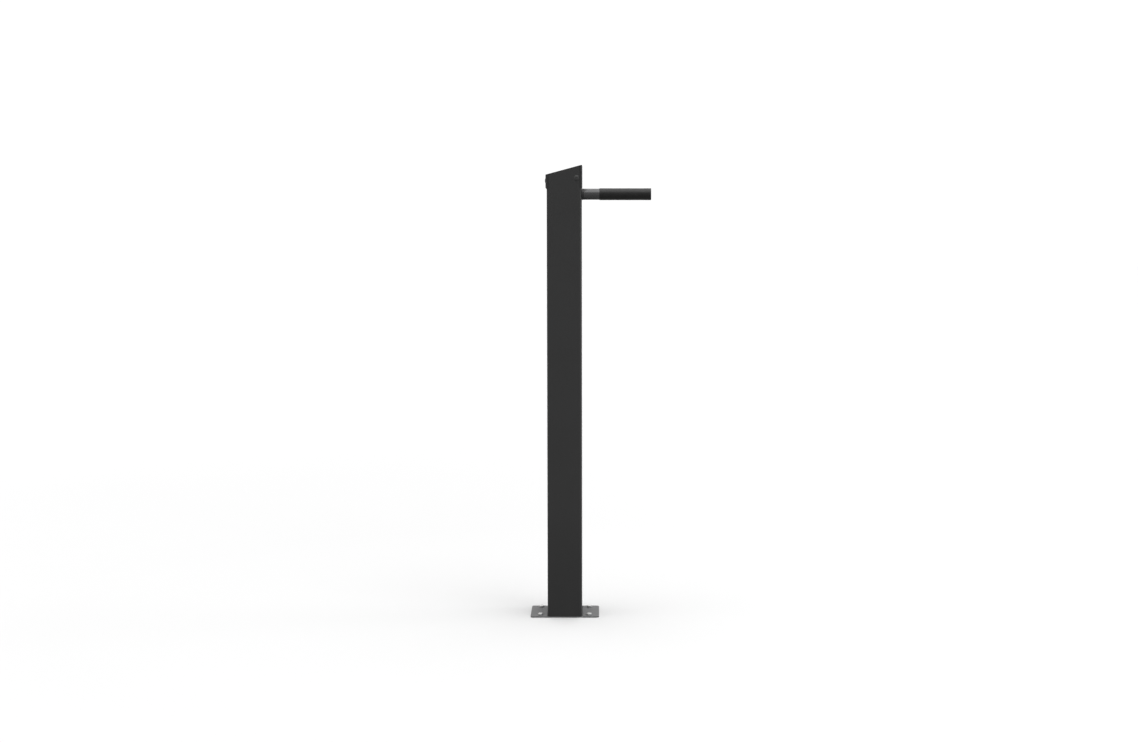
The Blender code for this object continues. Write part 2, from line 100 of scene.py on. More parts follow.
# Threads: radius and pitch
ANCHOR_THREAD = (0.004, 0.00125)
ARM_BOLT_THREAD = (0.006, 0.00175)
LID_SCREW_THREAD = (0.003, 0.001)
THREAD_DEPTH = 0.55  # in pitches
THREAD_FLANK = 2.2  # steepness of a groove's sides
THREAD_ROWS = 4  # rows of points in each pitch
# Bolt heads: the round faces against the width across flats, the raised face under the head
# against its height, and the lower chamfer against the upper one
HEAD_FACE = 0.96
WASHER_FACE = 0.06
HEAD_CHAMFER = math.radians(30)
LOW_CHAMFER = 0.6
SMALL_EDGE = 0.00012
ARM_BOLT_EDGE = 0.00015

# Studio
FLOOR_REACH = 30.0
FLOOR_DEPTH = 0.02
FLOOR_TONE = 0.735
FLOOR_FAR_TONE = 0.84  # beyond the lamps' reach
FLOOR_NEAR = 1.5  # from here the tone changes to the far one
FLOOR_FAR = 6.0  # and from here it is the far one
BACKDROP_REACH = FLOOR_REACH * 1.05
BACKDROP_STRENGTH = 1.05
SKY_BELOW = 0.31
# Each band adds light where its axis of the direction goes from the first number to the second
SKY_BANDS = (
    ("Z", -0.4, 0.0, 0.13),
    ("Z", 0.52, 0.82, 1.31),
    ("Y", 0.3, 0.95, 0.5),
)
# Name, place, size and power
LAMPS = (
    ("key_light", (1.3, -1.3, 4.8), 2.0, 26.0),
    ("fill_light", (-2.6, -0.5, 3.4), 2.0, 7.0),
    ("side_light", (3.6, 0.4, 1.6), 1.6, 20.0),
)
LAMP_AIM = Vector((0, 0, 0.6))
CAMERA_PLACE = (0.1048, -5.5927, 1.2494)
CAMERA_DOWN = math.radians(5.3615)
CAMERA_YAW = math.radians(0.0078)
CAMERA_SENSOR = 36.0
CAMERA_LENS = 60.105
CAMERA_SHIFT = -0.02724
CAMERA_REACH = 200.0

# Facets
ROUND = 64
SMALL_ROUND = 48
THREAD_ROUND = 24
ARC_STEPS = 10
PAST = 0.005  # how far a cutter runs past what it cuts
SMOOTH_ANGLE = math.radians(32)  # edges that turn more than this are shaded sharp
BREAK_ANGLE = math.radians(40)  # edges that turn more than this are broken
LID_BREAK_ANGLE = math.radians(50)
SAME_POINT = 0.000001
SAME_PLANE = math.radians(0.5)


# Mesh helpers

def finish_mesh(name, shape):
    """A bmesh made into a smooth-shaded mesh with its faces pointing out."""
    bmesh.ops.recalc_face_normals(shape, faces=shape.faces)
    mesh = bpy.data.meshes.new(name)
    shape.to_mesh(mesh)
    shape.free()
    mesh.shade_smooth()
    mesh.set_sharp_from_angle(angle=SMOOTH_ANGLE)
    return mesh


def add_object(name, data, matrix=None):
    made = bpy.data.objects.new(name, data)
    bpy.context.scene.collection.objects.link(made)
    made.matrix_world = matrix or Matrix.Identity(4)
    return made


def evaluated_mesh(item, name):
    """The object's mesh with its modifiers applied, in the object's own axes."""
    bpy.context.view_layer.update()
    graph = bpy.context.evaluated_depsgraph_get()
    mesh = bpy.data.meshes.new_from_object(item.evaluated_get(graph))
    mesh.name = name
    mesh.shade_smooth()
    mesh.set_sharp_from_angle(angle=SMOOTH_ANGLE)
    return mesh


def combined(name, first, others, operation):
    """The mesh that an exact Boolean of these meshes leaves."""
    base = add_object("base_shape", first)
    tools = [add_object("tool_shape", mesh) for mesh in others]
    for tool in tools:
        modifier = base.modifiers.new("boolean", "BOOLEAN")
        modifier.operation = operation
        modifier.object = tool
        modifier.solver = "EXACT"
    mesh = evaluated_mesh(base, name)
    for item in [base, *tools]:
        bpy.data.objects.remove(item, do_unlink=True)
    return mesh


def soften(item, width, segments=3, limit=BREAK_ANGLE):
    """Breaks the sharp edges of a piece."""
    bevel = item.modifiers.new("edge_break", "BEVEL")
    bevel.width = width
    bevel.segments = segments
    bevel.limit_method = "ANGLE"
    bevel.angle_limit = limit
    bevel.use_clamp_overlap = True
    bevel.harden_normals = True


def rounded(points, radii, steps=ARC_STEPS):
    """The closed outline through the points, with an arc of the given radius at each one."""
    if not hasattr(radii, "__len__"):
        radii = [radii] * len(points)
    made = []
    for i, radius in enumerate(radii):
        corner = Vector(points[i])
        if radius == 0:
            made.append(corner)
            continue
        to_last = (Vector(points[i - 1]) - corner).normalized()
        to_next = (Vector(points[(i + 1) % len(points)]) - corner).normalized()
        half = to_last.angle(to_next) / 2
        centre = corner + (to_last + to_next).normalized() * radius / math.sin(half)
        start = corner + to_last * radius / math.tan(half) - centre
        finish = corner + to_next * radius / math.tan(half) - centre
        turn = start.angle_signed(finish)
        for step in range(steps + 1):
            made.append(centre + Matrix.Rotation(-turn * step / steps, 2) @ start)
    return made


def rectangle(length, width):
    x, y = length / 2, width / 2
    return [(-x, -y), (x, -y), (x, y), (-x, y)]


def circle(radius, x=0, y=0, steps=SMALL_ROUND):
    turn = 2 * math.pi / steps
    angles = [i * turn for i in range(steps)]
    return [(x + radius * math.cos(angle), y + radius * math.sin(angle)) for angle in angles]


def prism(name, outline, low, high, holes=()):
    """A flat outline with holes, standing from low to high along its own Z."""
    curve = bpy.data.curves.new(name, "CURVE")
    curve.dimensions = "2D"
    curve.fill_mode = "BOTH"
    curve.extrude = (high - low) / 2
    for points in [outline, *holes]:
        spline = curve.splines.new("POLY")
        spline.points.add(len(points) - 1)
        for point, (x, y) in zip(spline.points, points):
            point.co = (x, y, 0, 1)
        spline.use_cyclic_u = True
    guide = add_object(name, curve)
    mesh = evaluated_mesh(guide, name)
    bpy.data.objects.remove(guide, do_unlink=True)
    shape = bmesh.new()
    shape.from_mesh(mesh)
    bmesh.ops.remove_doubles(shape, verts=shape.verts, dist=SAME_POINT)
    bmesh.ops.dissolve_limit(
        shape, angle_limit=SAME_PLANE, verts=shape.verts, edges=shape.edges
    )
    bmesh.ops.translate(shape, verts=shape.verts, vec=(0, 0, (low + high) / 2))
    return finish_mesh(name, shape)


def turned_mesh(name, profile, steps=ROUND, closed=False):
    """Turns (radius, height) points about Z. A closed profile is a ring's section."""
    shape = bmesh.new()
    rings = []
    for radius, height in profile:
        if radius == 0:
            rings.append([shape.verts.new((0, 0, height))])
            continue
        rings.append([shape.verts.new((x, y, height)) for x, y in circle(radius, steps=steps)])
    pairs = list(zip(rings, rings[1:]))
    if closed:
        pairs.append((rings[-1], rings[0]))
    for first, second in pairs:
        for i in range(steps):
            j = (i + 1) % steps
            corners = [first[i % len(first)], first[j % len(first)]]
            corners += [second[j % len(second)], second[i % len(second)]]
            shape.faces.new(list(dict.fromkeys(corners)))
    return finish_mesh(name, shape)


def ring_mesh(name, outer, inner, length, edge):
    """A ring with rounded edges, standing on z = 0."""
    section = [(outer, length), (outer, 0), (inner, 0), (inner, length)]
    return turned_mesh(name, rounded(section, edge, 4), ROUND, closed=True)


def skinned_mesh(name, rings):
    """A closed skin over rings of points, with a flat face at both ends."""
    shape = bmesh.new()
    rings = [[shape.verts.new(point) for point in ring] for ring in rings]
    for first, second in zip(rings, rings[1:]):
        for i in range(len(first)):
            j = (i + 1) % len(first)
            shape.faces.new((first[i], first[j], second[j], second[i]))
    shape.faces.new(rings[0][::-1])
    shape.faces.new(rings[-1])
    return finish_mesh(name, shape)


def threaded_mesh(name, thread, low, high):
    """A rod along Z with a helical thread that runs out at both ends, within one pitch."""
    radius, pitch = thread
    depth = THREAD_DEPTH * pitch
    rows = round((high - low) / pitch * THREAD_ROWS)
    rings = []
    for row in range(rows + 1):
        height = low + (high - low) * row / rows
        fade = min(1, (height - low) / pitch, (high - height) / pitch)
        end_chamfer = depth * max(0, 1 - (height - low) / pitch)
        points = []
        for i in range(THREAD_ROUND):
            share = i / THREAD_ROUND
            phase = (height / pitch - share) % 1
            groove = min(1, THREAD_FLANK * min(phase, 1 - phase)) * fade
            reach = radius - depth * groove - end_chamfer
            angle = 2 * math.pi * share
            points.append((reach * math.cos(angle), reach * math.sin(angle), height))
        rings.append(points)
    return skinned_mesh(name, rings)


def hexagon_mesh(name, flats, low, high):
    return prism(name, circle(flats / math.sqrt(3), steps=6), low, high)


def hex_bolt_mesh(name, flats, head, thread, shank):
    """A hexagon bolt: its head stands on z = 0 and its threaded shank hangs below."""
    corner = flats / math.sqrt(3)
    past_corner = corner * 1.01
    face = flats / 2 * HEAD_FACE
    washer_face = head * WASHER_FACE
    top_chamfer = (corner - face) * math.tan(HEAD_CHAMFER)
    low_chamfer = top_chamfer * LOW_CHAMFER
    limits = [
        (0, head),
        (face, head),
        (past_corner, head - top_chamfer),
        (past_corner, washer_face + low_chamfer),
        (face, washer_face),
        (face, 0),
        (0, 0),
    ]
    hexagon = hexagon_mesh("hexagon", flats, -PAST, head + PAST)
    head_mesh = combined("head", hexagon, [turned_mesh("limits", limits)], "INTERSECT")
    rod = threaded_mesh("thread", thread, -shank, head / 2)
    return combined(name, head_mesh, [rod], "UNION")


def swept_mesh(name, frames, section):
    """A closed section carried along a list of matrices, with both ends closed."""
    rings = [[matrix @ Vector((x, y, 0)) for x, y in section] for matrix in frames]
    return skinned_mesh(name, rings)


# Materials

class Look:
    """A Principled material and the nodes that feed it. Coordinates are the object's own, in metres."""

    def __init__(self, name, metallic, specular=0.5):
        self.material = bpy.data.materials.new(name)
        self.material.use_nodes = True
        self.tree = self.material.node_tree
        self.shader = self.tree.nodes["Principled BSDF"]
        self.shader.inputs["Metallic"].default_value = metallic
        self.shader.inputs["Specular IOR Level"].default_value = specular
        self.place = self.node("ShaderNodeTexCoord").outputs["Object"]

    def node(self, kind, **settings):
        made = self.tree.nodes.new(kind)
        for key, value in settings.items():
            setattr(made, key, value)
        return made

    def feed(self, socket, value):
        if isinstance(value, bpy.types.NodeSocket):
            self.tree.links.new(value, socket)
        else:
            socket.default_value = value

    def stretched(self, scale):
        """The coordinates multiplied by a different number along each axis."""
        made = self.node("ShaderNodeMapping")
        self.feed(made.inputs["Vector"], self.place)
        made.inputs["Scale"].default_value = scale
        return made.outputs["Vector"]

    def noise(self, scale, detail=2.0, roughness=0.5, where=None):
        made = self.node("ShaderNodeTexNoise")
        self.feed(made.inputs["Vector"], where or self.place)
        made.inputs["Scale"].default_value = scale
        made.inputs["Detail"].default_value = detail
        made.inputs["Roughness"].default_value = roughness
        return made.outputs["Fac"]

    def cells(self, scale):
        """A random colour in each cell."""
        made = self.node("ShaderNodeTexVoronoi")
        self.feed(made.inputs["Vector"], self.place)
        made.inputs["Scale"].default_value = scale
        return made.outputs["Color"]

    def remap(self, value, low, high, to_low, to_high):
        """The range from low to high stretched to the second range and held at its ends."""
        made = self.node("ShaderNodeMapRange", clamp=True)
        for key, item in zip(
            ("Value", "From Min", "From Max", "To Min", "To Max"),
            (value, low, high, to_low, to_high),
        ):
            self.feed(made.inputs[key], item)
        return made.outputs["Result"]

    def math(self, operation, first, second):
        made = self.node("ShaderNodeMath", operation=operation)
        self.feed(made.inputs[0], first)
        self.feed(made.inputs[1], second)
        return made.outputs["Value"]

    def part_of(self, vector, axis):
        made = self.node("ShaderNodeSeparateXYZ")
        self.feed(made.inputs["Vector"], vector)
        return made.outputs[axis]

    def mix(self, share, first, second):
        made = self.node("ShaderNodeMix", data_type="RGBA")
        self.feed(made.inputs["Factor"], share)
        self.feed(made.inputs["A"], first)
        self.feed(made.inputs["B"], second)
        return made.outputs["Result"]

    def bump(self, height, distance, strength=1.0, under=None):
        made = self.node("ShaderNodeBump")
        made.inputs["Distance"].default_value = distance
        made.inputs["Strength"].default_value = strength
        self.feed(made.inputs["Height"], height)
        if under:
            self.feed(made.inputs["Normal"], under)
        return made.outputs["Normal"]

    def finish(self, colour, roughness, normal):
        self.feed(self.shader.inputs["Base Color"], colour)
        self.feed(self.shader.inputs["Roughness"], roughness)
        self.feed(self.shader.inputs["Normal"], normal)
        return self.material


def grey(value, tint=(1.0, 1.0, 1.0)):
    return (value * tint[0], value * tint[1], value * tint[2], 1.0)


def powder_coat(name, tone, gloss):
    """Fine-textured powder coat: painted shade that darkens it low down, a little dust low down, and
    faint handling marks.
    """
    look = Look(name, metallic=0.0)
    speckle = look.noise(1500, 2.0)
    cloud = look.noise(5.5, 4.0, 0.55)
    base = look.mix(look.remap(speckle, 0.35, 0.65, 0, 1), grey(tone * 0.86), grey(tone * 1.12))
    base = look.mix(look.remap(cloud, 0.35, 0.7, 0, 0.5), base, grey(tone * 1.15, (1, 1.01, 1.03)))
    height = look.part_of(look.place, "Z")
    low_down = look.remap(height, 0.0, 0.16, 0.1, 0.0)
    dust = look.math("MULTIPLY", low_down, look.remap(look.noise(38, 5.0, 0.62), 0.4, 0.7, 0, 1))
    base = look.mix(dust, base, grey(tone * 2.4, (1.04, 1.0, 0.94)))
    # Painted shade: the coat darkens towards the bottom of each piece's own coordinates
    painted_foot_shade = look.remap(height, 0.0, 0.3, 0.4, 0.0)
    base = look.mix(painted_foot_shade, base, grey(tone * 0.25))
    streaks = look.noise(1.0, 3.0, 0.6, look.stretched((420, 420, 9)))
    streaks = look.remap(streaks, 0.7, 0.78, 0, 0.4)
    marks = look.math("MULTIPLY", streaks, look.remap(cloud, 0.5, 0.62, 0, 1))
    base = look.mix(marks, base, grey(tone * 1.9))
    roughness = look.remap(look.noise(240, 3.0), 0.3, 0.7, gloss - 0.05, gloss + 0.06)
    roughness = look.math("ADD", roughness, look.math("MULTIPLY", dust, 0.2))
    peel = look.bump(look.noise(420, 2.0, 0.45), 0.00012)
    grain = look.bump(look.noise(2600, 2.0, 0.6), 0.00005, 1.0, peel)
    return look.finish(base, roughness, grain)


def galvanised(name, tone):
    """Dull zinc-coated steel plate: large soft spangles under a fine grey bloom."""
    look = Look(name, metallic=0.15, specular=0.12)
    spangle = look.part_of(look.cells(95), "X")
    bloom = look.noise(42, 6.0, 0.6)
    light_spangle = grey(tone * 1.1, (0.99, 1, 1.02))
    base = look.mix(spangle, grey(tone * 0.88), light_spangle)
    base = look.mix(look.remap(bloom, 0.42, 0.72, 0, 0.55), base, grey(tone * 1.25))
    specks = look.remap(look.noise(700, 2.0), 0.68, 0.76, 0, 0.5)
    base = look.mix(specks, base, grey(tone * 0.55))
    roughness = look.math(
        "ADD", look.remap(spangle, 0, 1, 0.5, 0.62), look.remap(bloom, 0.4, 0.7, 0, 0.1)
    )
    soft = look.bump(look.noise(160, 3.0), 0.00012, 0.7)
    pits = look.bump(look.noise(1300, 3.0), 0.00004, 0.8, soft)
    return look.finish(base, roughness, pits)


def drawn_steel(name, tone):
    """Satin steel tube with fine marks that run round it, and a few handling scratches."""
    look = Look(name, metallic=0.85)
    rings = look.noise(1.0, 3.0, 0.6, look.stretched((60, 60, 2600)))
    cloud = look.noise(60, 4.0)
    light_ring = grey(tone * 1.12, (1, 1, 1.02))
    base = look.mix(look.remap(rings, 0.3, 0.7, 0, 1), grey(tone * 0.88), light_ring)
    base = look.mix(look.remap(cloud, 0.45, 0.7, 0, 0.35), base, grey(tone * 0.8, (1.03, 1, 0.96)))
    scratch = look.noise(1.0, 2.0, 0.5, look.stretched((900, 900, 40)))
    scored = look.remap(scratch, 0.72, 0.78, 0, 0.6)
    base = look.mix(scored, base, grey(tone * 1.6))
    roughness = look.math(
        "ADD", look.remap(rings, 0.3, 0.7, 0.22, 0.3), look.remap(cloud, 0.4, 0.7, 0, 0.08)
    )
    lines = look.bump(rings, 0.00004, 0.7)
    return look.finish(base, roughness, look.bump(scored, 0.00004, 0.5, lines))


def zinc(name, tone):
    """Bright zinc plating with a faint warm and blue passivation bloom."""
    look = Look(name, metallic=0.6, specular=0.3)
    bloom = look.noise(110, 4.0, 0.55)
    base = look.mix(
        look.remap(bloom, 0.35, 0.65, 0, 1),
        grey(tone, (1.0, 0.985, 0.94)),
        grey(tone * 0.95, (0.95, 0.985, 1.0)),
    )
    stain = look.remap(look.noise(320, 5.0, 0.65), 0.58, 0.76, 0, 0.5)
    base = look.mix(stain, base, grey(tone * 0.55))
    roughness = look.remap(look.noise(500, 3.0), 0.3, 0.7, 0.34, 0.5)
    return look.finish(base, roughness, look.bump(look.noise(1500, 3.0), 0.00003, 0.7))


def rubber(name, tone, gloss):
    """Black rubber: fine moulded grain, a dry bloom in patches and small scuffs."""
    look = Look(name, metallic=0.0, specular=0.4)
    bloom = look.noise(70, 5.0, 0.6)
    fine = look.noise(2400, 2.0)
    base = look.mix(look.remap(fine, 0.35, 0.65, 0, 1), grey(tone * 0.8), grey(tone * 1.2))
    base = look.mix(look.remap(bloom, 0.5, 0.72, 0, 0.6), base, grey(tone * 2.1, (1.02, 1, 0.97)))
    scuff = look.noise(1.0, 3.0, 0.6, look.stretched((260, 260, 1400)))
    scuffed = look.remap(scuff, 0.7, 0.76, 0, 0.45)
    base = look.mix(scuffed, base, grey(tone * 3.2))
    roughness = look.remap(bloom, 0.4, 0.7, gloss - 0.06, gloss + 0.1)
    roughness = look.math("ADD", roughness, look.math("MULTIPLY", scuffed, 0.2))
    grain = look.bump(fine, 0.00006, 0.8)
    soft = look.bump(look.noise(240, 3.0), 0.00012, 0.6, grain)
    return look.finish(base, roughness, soft)


def plastic(name, tone):
    """Injection-moulded black plastic with a fine spark-eroded grain."""
    look = Look(name, metallic=0.0)
    bloom = look.noise(90, 3.0)
    base = look.mix(look.remap(bloom, 0.4, 0.65, 0, 1), grey(tone * 0.85), grey(tone * 1.2))
    roughness = look.remap(bloom, 0.35, 0.65, 0.38, 0.5)
    return look.finish(base, roughness, look.bump(look.noise(1900, 2.0), 0.00004, 0.8))


CHARCOAL = powder_coat("charcoal_powder_coat", tone=0.0325, gloss=0.5)
# Painted highlight: the same charcoal coat made lighter so that the screw heads read brighter; the
# painted foot shade darkens them again in part, as their own coordinates start at the tip
SCREW_COAT_PAINTED_HIGHLIGHT = powder_coat("coated_screw_painted_highlight", tone=0.068, gloss=0.4)
PLATE_STEEL = galvanised("galvanised_plate", tone=0.165)
ARM_STEEL = drawn_steel("satin_tube", tone=0.12)
ZINC = zinc("bright_zinc", tone=0.74)
RUBBER = rubber("sleeve_rubber", tone=0.012, gloss=0.46)
GASKET_RUBBER = rubber("gasket_rubber", tone=0.045, gloss=0.4)
PLASTIC = plastic("plug_plastic", tone=0.018)


# Placing: a round piece is made along its own +Z, starting at z = 0

def turned_to(direction, axis="Z"):
    """The turn that points this own axis in the direction."""
    return Vector(direction).to_track_quat(axis, "Y").to_matrix().to_4x4()


def centre_of(node):
    low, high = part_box(node)
    return (low + high) / 2


def seat(node, direction):
    """Where a round CAD piece sits: the matrix of its start face, its length and its radius."""
    low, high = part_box(node)
    way = Vector(direction)
    half = (high - low) / 2
    reach = abs(half.dot(way))
    across = [half[i] for i in range(3) if abs(way[i]) < 0.5]
    start = Matrix.Translation(centre_of(node) - way * reach)
    return start @ turned_to(way), 2 * reach, min(across)


def show(node, mesh, material, matrix=None):
    """Adds the detailed piece that stands for a CAD node."""
    if not mesh.materials:
        mesh.materials.append(material)
    piece = add_object(node + "_finish", mesh, matrix)
    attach(piece, BODY)
    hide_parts(node)
    return piece


# Post and foot plate

def lid_top(x):
    """Height of the lid's upper surface, before its bends are rounded."""
    return LID_APEX - (LID_FRONT_X - x) * LID_SLOPE


POST_LOW, POST_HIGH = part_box("post_column")
POST_SIZE = POST_HIGH - POST_LOW
LID_LOW, LID_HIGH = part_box("lid_cover")
LID_FRONT_X = LID_HIGH.x
RETURN_X = POST_HIGH.x - POST_CORNER + RETURN_REACH
# The post's front wall is cut by a plane that lies this far under the lid's upper surface
SEAT_DEPTH = (LID_SHEET + GAP) / math.cos(LID_ANGLE)
LID_APEX = POST_HIGH.z + SEAT_DEPTH + (LID_FRONT_X - POST_HIGH.x) * LID_SLOPE


def bore(name, radius, point, direction):
    """A cylinder through a wall: it reaches out from a point on the wall and twice as far in."""
    deep = -PAST * 2
    hole = turned_mesh(name, [(0, PAST), (radius, PAST), (radius, deep), (0, deep)])
    hole.transform(Matrix.Translation(point) @ turned_to(direction))
    return hole


def build_post():
    outer = rounded(rectangle(POST_SIZE.x, POST_SIZE.y), POST_CORNER)
    cavity = rectangle(POST_SIZE.x - 2 * POST_WALL, POST_SIZE.y - 2 * POST_WALL)
    inner = rounded(cavity, POST_CORNER - POST_WALL)
    tube = prism("tube", outer, POST_LOW.z, LID_APEX, [inner])
    # Everything above the sloping seat is cut away
    wedge = prism("wedge", rectangle(2 * POST_SIZE.y, 2 * POST_SIZE.y), 0, POST_SIZE.y)
    seat_height = lid_top(0) - SEAT_DEPTH
    wedge.transform(Matrix.Translation((0, 0, seat_height)) @ Matrix.Rotation(-LID_ANGLE, 4, "Y"))
    cutters = [wedge]
    for side_name, side in SIDES.items():
        arm = centre_of("arm_tube_" + side_name)
        nut = centre_of("lid_rivet_nut_rear_" + side_name)
        screw = centre_of("lid_screw_side_" + side_name)
        wall_y = side * POST_SIZE.y / 2
        cutters += [
            bore("arm_hole", POST_HOLE, (POST_HIGH.x, arm.y, arm.z), FORWARD),
            bore("nut_hole", NUT_HOLE, (POST_LOW.x, nut.y, nut.z), BACKWARD),
            bore("side_hole", SIDE_HOLE, (screw.x, wall_y, screw.z), (0, side, 0)),
        ]
    post = show("post_column", combined("post", tube, cutters, "DIFFERENCE"), CHARCOAL)
    soften(post, POST_EDGE)


def build_weld_beads():
    """Rippled fillet welds where the post's front and rear walls stand on the foot plate."""
    radius = 0.0019
    ripple = 0.0021  # from one ripple to the next
    ripple_steps = 5
    run_out = 0.003
    end_size = 0.35
    plate_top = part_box("base_plate")[1].z
    axis_x = POST_HIGH.x + 0.0004
    axis_z = plate_top + 0.0005
    length = POST_SIZE.y - 2 * POST_CORNER
    count = round(length / ripple) * ripple_steps
    section = circle(1.0, steps=14)
    for end_name, end in ENDS.items():
        frames = []
        for step in range(count + 1):
            y = -length / 2 + length * step / count
            phase = (step / ripple_steps) % 1
            taper = min(1, (length / 2 - abs(y)) / run_out + end_size)
            unevenness = 0.93 + 0.09 * math.sin(math.pi * phase) + 0.02 * math.sin(y * 310)
            swell = radius * taper * unevenness
            place = Matrix.Translation((end * axis_x, y, axis_z)) @ QUARTER_TURN
            frames.append(place @ Matrix.Diagonal((swell, swell, 1, 1)))
        mesh = swept_mesh("weld_bead_" + end_name, frames, section)
        mesh.materials.append(CHARCOAL)
        bead = add_object("weld_bead_" + end_name, mesh)
        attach(bead, BODY)


def build_base_plate():
    low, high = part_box("base_plate")
    outline = rounded(rectangle(high.x - low.x, high.y - low.y), PLATE_CORNER)
    holes = [circle(DRAIN_HOLE, 0, side * DRAIN_OFFSET) for side in SIDES.values()]
    for end_name in ENDS:
        for side_name in SIDES:
            anchor = centre_of(f"anchor_bolt_{end_name}_{side_name}")
            holes.append(circle(PLATE_HOLE, anchor.x, anchor.y))
    plate = show("base_plate", prism("plate", outline, low.z, high.z, holes), PLATE_STEEL)
    soften(plate, PLATE_EDGE)


def build_anchors():
    head_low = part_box("base_plate")[1].z + GAP
    bolt_mesh = None
    for end_name in ENDS:
        for side_name in SIDES:
            node = f"anchor_bolt_{end_name}_{side_name}"
            matrix, length, radius = seat(node, UPWARD)
            shank = head_low - matrix.translation.z
            if bolt_mesh is None:
                head = length - shank
                bolt_mesh = hex_bolt_mesh("anchor_bolt", 2 * radius, head, ANCHOR_THREAD, shank)
            place = Matrix.Translation((matrix.translation.x, matrix.translation.y, head_low))
            bolt = show(node, bolt_mesh, ZINC, place)
            soften(bolt, SMALL_EDGE, 2)


# Lid

def bent(outline):
    """The points of an outline given as (corner, radius) pairs."""
    corners, radii = zip(*outline)
    return rounded(corners, radii, 8)


def build_lid():
    """A folded cap: a flap behind, a lip in front, and narrow returns round the post's corners."""
    low, high = LID_LOW, LID_HIGH
    flap_x = low.x + LID_SHEET
    lip_x = high.x - LID_SHEET
    under = LID_SHEET / math.cos(LID_ANGLE)
    hem_x = low.x + HEM_REACH
    knee = low.z + HEM_HEIGHT
    outer_bend = LID_BEND + LID_SHEET
    inside = RETURN_X - PAST
    hem_bend = 0.001
    hem_edge = 0.0002
    return_corner = 0.0005
    outline = [
        ((low.x, knee), hem_bend),
        ((hem_x, low.z), hem_edge),
        ((-RETURN_X, low.z), return_corner),
        ((-RETURN_X, lid_top(-RETURN_X) - under), 0),
        ((RETURN_X, lid_top(RETURN_X) - under), 0),
        ((RETURN_X, knee), return_corner),
        ((high.x, knee), 0),
        ((high.x, LID_APEX), outer_bend),
        ((low.x, lid_top(low.x)), outer_bend),
    ]
    rear_pocket = [
        ((flap_x, knee), 0),
        ((hem_x, low.z + HEM_HEIGHT / 2), 0),
        ((hem_x, low.z - PAST), 0),
        ((-inside, low.z - PAST), 0),
        ((-inside, lid_top(-inside) - under), 0),
        ((flap_x, lid_top(flap_x) - under), LID_BEND),
    ]
    front_pocket = [
        ((inside, knee - PAST), 0),
        ((lip_x, knee - PAST), 0),
        ((lip_x, lid_top(lip_x) - under), LID_BEND),
        ((inside, lid_top(inside) - under), 0),
    ]
    sheet = prism("sheet", bent(outline), low.y, high.y)
    sheet.transform(QUARTER_TURN)
    cutters = []
    for side_name in SIDES:
        screw = centre_of("lid_screw_rear_" + side_name)
        cutters.append(bore("flap_hole", SIDE_HOLE, (low.x, screw.y, screw.z), BACKWARD))
    for pocket in (rear_pocket, front_pocket):
        cutter = prism("pocket", bent(pocket), low.y + LID_SHEET, high.y - LID_SHEET)
        cutter.transform(QUARTER_TURN)
        cutters.append(cutter)
    lid = show("lid_cover", combined("lid", sheet, cutters, "DIFFERENCE"), CHARCOAL)
    soften(lid, LID_EDGE, limit=LID_BREAK_ANGLE)


def build_lid_brackets():
    """Bent angles that follow the lid's slope, each with a hole for its rivet nut."""
    for side_name, side in SIDES.items():
        low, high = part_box("lid_bracket_" + side_name)
        face_y = max(abs(low.y), abs(high.y))
        flange = high.y - low.y
        rise = (high.x - low.x) * LID_SLOPE
        top = high.z - rise
        thick = BRACKET_SHEET / math.cos(LID_ANGLE)
        section = [
            (face_y, low.z),
            (face_y, top),
            (face_y - flange, top),
            (face_y - flange, top - thick),
            (face_y - BRACKET_SHEET, top - thick),
            (face_y - BRACKET_SHEET, low.z),
        ]
        radii = [0, BRACKET_BEND + BRACKET_SHEET, 0, 0, BRACKET_BEND, 0]
        points = [(side * y, z) for y, z in rounded(section, radii, 6)]
        bracket = prism("bracket", points, low.x, high.x)
        # Own X, Y, Z of the prism go to the world's Y, Z, X, and the sheared rise follows the lid
        shear = Matrix((
            (0, 0, 1, 0),
            (1, 0, 0, 0),
            (0, 1, LID_SLOPE, -low.x * LID_SLOPE),
            (0, 0, 0, 1),
        ))
        bracket.transform(shear)
        # The shear slopes the lower edge as well, so what hangs under the CAD piece is cut away
        spare = prism("spare", rectangle(2 * POST_SIZE.y, 2 * POST_SIZE.y), low.z - POST_SIZE.y, low.z)
        nut = centre_of("lid_rivet_nut_side_" + side_name)
        hole = bore("bracket_hole", NUT_HOLE, (nut.x, side * face_y, nut.z), (0, side, 0))
        mesh = combined("bracket", bracket, [spare, hole], "DIFFERENCE")
        soften(show("lid_bracket_" + side_name, mesh, ZINC), BRACKET_EDGE, 2)


def lid_screw_mesh(length, radius):
    """A low mushroom head with a hexagon socket. Its tip is at z = 0 and its crown at the length."""
    head = 0.0025
    rim = 0.0005
    under_edge = (0.0003, 0.0001)
    socket_flats = 0.004
    socket_depth = 0.0012
    lead_in_radii = (0.0032, 0.0019)
    lead_in_reach = 0.0006
    dome_steps = 12
    shank = length - head
    dome = (radius**2 + (head - rim) ** 2) / (2 * (head - rim))
    sweep = math.asin(radius / dome)
    profile = [(0, length)]
    for step in range(1, dome_steps + 1):
        angle = sweep * step / dome_steps
        profile.append((dome * math.sin(angle), length - dome * (1 - math.cos(angle))))
    profile += [(radius, shank + under_edge[1]), (radius - under_edge[0], shank), (0, shank)]
    head_mesh = turned_mesh("head", profile)
    socket = hexagon_mesh("socket", socket_flats, length - socket_depth, length + PAST)
    wide, narrow = lead_in_radii
    above, below = length + lead_in_reach, length - lead_in_reach
    lead_in = turned_mesh("lead_in", [(0, above), (wide, above), (narrow, below), (0, below)])
    head_mesh = combined("head", head_mesh, [socket, lead_in], "DIFFERENCE")
    into_head = 0.0004
    rod = threaded_mesh("thread", LID_SCREW_THREAD, 0, shank + into_head)
    return combined("lid_screw", head_mesh, [rod], "UNION")


